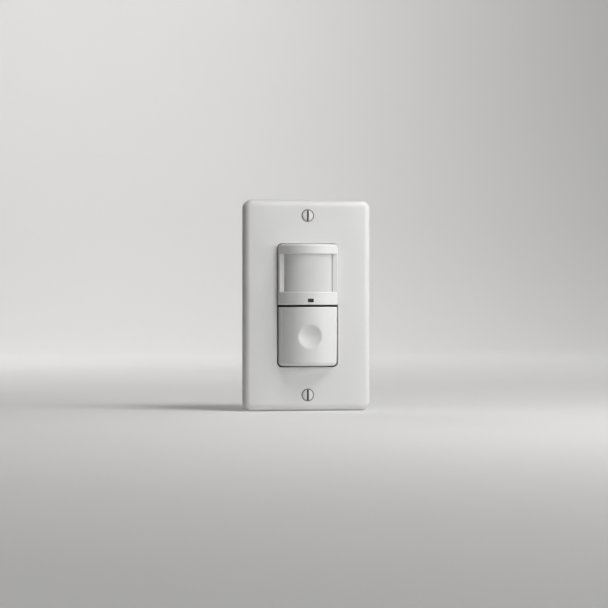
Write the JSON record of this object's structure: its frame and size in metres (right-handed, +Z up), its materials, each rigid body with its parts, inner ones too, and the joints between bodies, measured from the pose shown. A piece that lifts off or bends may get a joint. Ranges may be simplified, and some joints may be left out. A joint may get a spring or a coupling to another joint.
{
  "type": "motion sensor light switch",
  "caption": "Wall-mounted motion sensor light switch: curved infrared lens over a hinged push pad in a rounded cover plate, on a metal strap with a deep rear housing.",
  "frame": {"origin": "centre of the cover plate on the wall plane, midway between the two box screws", "axes": "+Z up, +Y into the wall along the box screws, +X to the right as seen from the room"},
  "size_m": [0.0698, 0.0461, 0.1142],
  "materials": {
    "plate_plastic": "satin moulded",
    "front_plastic": "satin moulded",
    "lens_plastic": "milky translucent",
    "smoked_plastic": "polished",
    "inner_plastic": "moulded",
    "black_plastic": "moulded",
    "blue_plastic": "moulded",
    "lamp_plastic": "clear tinted",
    "circuit_board": "solder mask",
    "sensor_can": "plated",
    "capacitor_can": "sleeved",
    "film_plastic": "dipped",
    "resistor_body": "lacquered",
    "painted_screw": "painted to match the plate",
    "zinc_steel": "zinc plated",
    "fibre_sheet": "pressed fibre",
    "green_screw": "dyed zinc",
    "housing_plastic": "moulded"
  },
  "bodies": {
    "switch_body": {"wall_plate": "plate_plastic", "plate_screws": "painted_screw", "sensor_bezel": "front_plastic", "fresnel_lens": "lens_plastic", "lens_retainer": "inner_plastic", "status_window": "smoked_plastic", "tact_switch": "black_plastic", "time_trimmer_base": "blue_plastic", "light_trimmer_base": "blue_plastic", "sensor_board": "circuit_board", "pir_spacer": "inner_plastic", "pir_sensor": "sensor_can", "pir_window": "smoked_plastic", "status_led": "lamp_plastic", "photocell": "black_plastic", "controller_chip": "black_plastic", "power_board": "circuit_board", "relay": "black_plastic", "reservoir_capacitor": "capacitor_can", "film_capacitor": "film_plastic", "varistor": "blue_plastic", "fusible_resistor": "resistor_body", "board_header": "black_plastic", "mounting_strap": "zinc_steel", "box_screws": "zinc_steel", "screw_retainers": "fibre_sheet", "ground_screw": "green_screw", "rear_housing": "housing_plastic", "housing_screws": "zinc_steel", "lead_bush": "black_plastic"},
    "push_pad": {"push_button": "front_plastic"},
    "plunger": {"tact_plunger": "inner_plastic"},
    "time_adjuster": {"time_dial": "inner_plastic"},
    "light_adjuster": {"light_dial": "inner_plastic"}
  },
  "joints": [
    {"name": "button_press", "type": "hinge", "parent": "switch_body", "child": "push_pad", "pos_m": [0, -0.0045, -0.028], "axis": [-1, 0, 0], "range_deg": [0, 2.5], "stiffness_Nm_per_rad": 0.4, "springref_deg": -1.72},
    {"name": "plunger_travel", "type": "slide", "parent": "switch_body", "child": "plunger", "axis": [0, 1, 0], "range_m": [0, 0.0005]},
    {"name": "time_turn", "type": "hinge", "parent": "switch_body", "child": "time_adjuster", "pos_m": [-0.009, 0, -0.0079], "axis": [0, -1, 0], "range_deg": [-135, 135]},
    {"name": "light_turn", "type": "hinge", "parent": "switch_body", "child": "light_adjuster", "pos_m": [0.009, 0, -0.0079], "axis": [0, -1, 0], "range_deg": [-135, 135]}
  ],
  "couplings": [
    {"joint": "plunger_travel", "follows": "button_press", "m_per_rad": 0.0113}
  ]
}
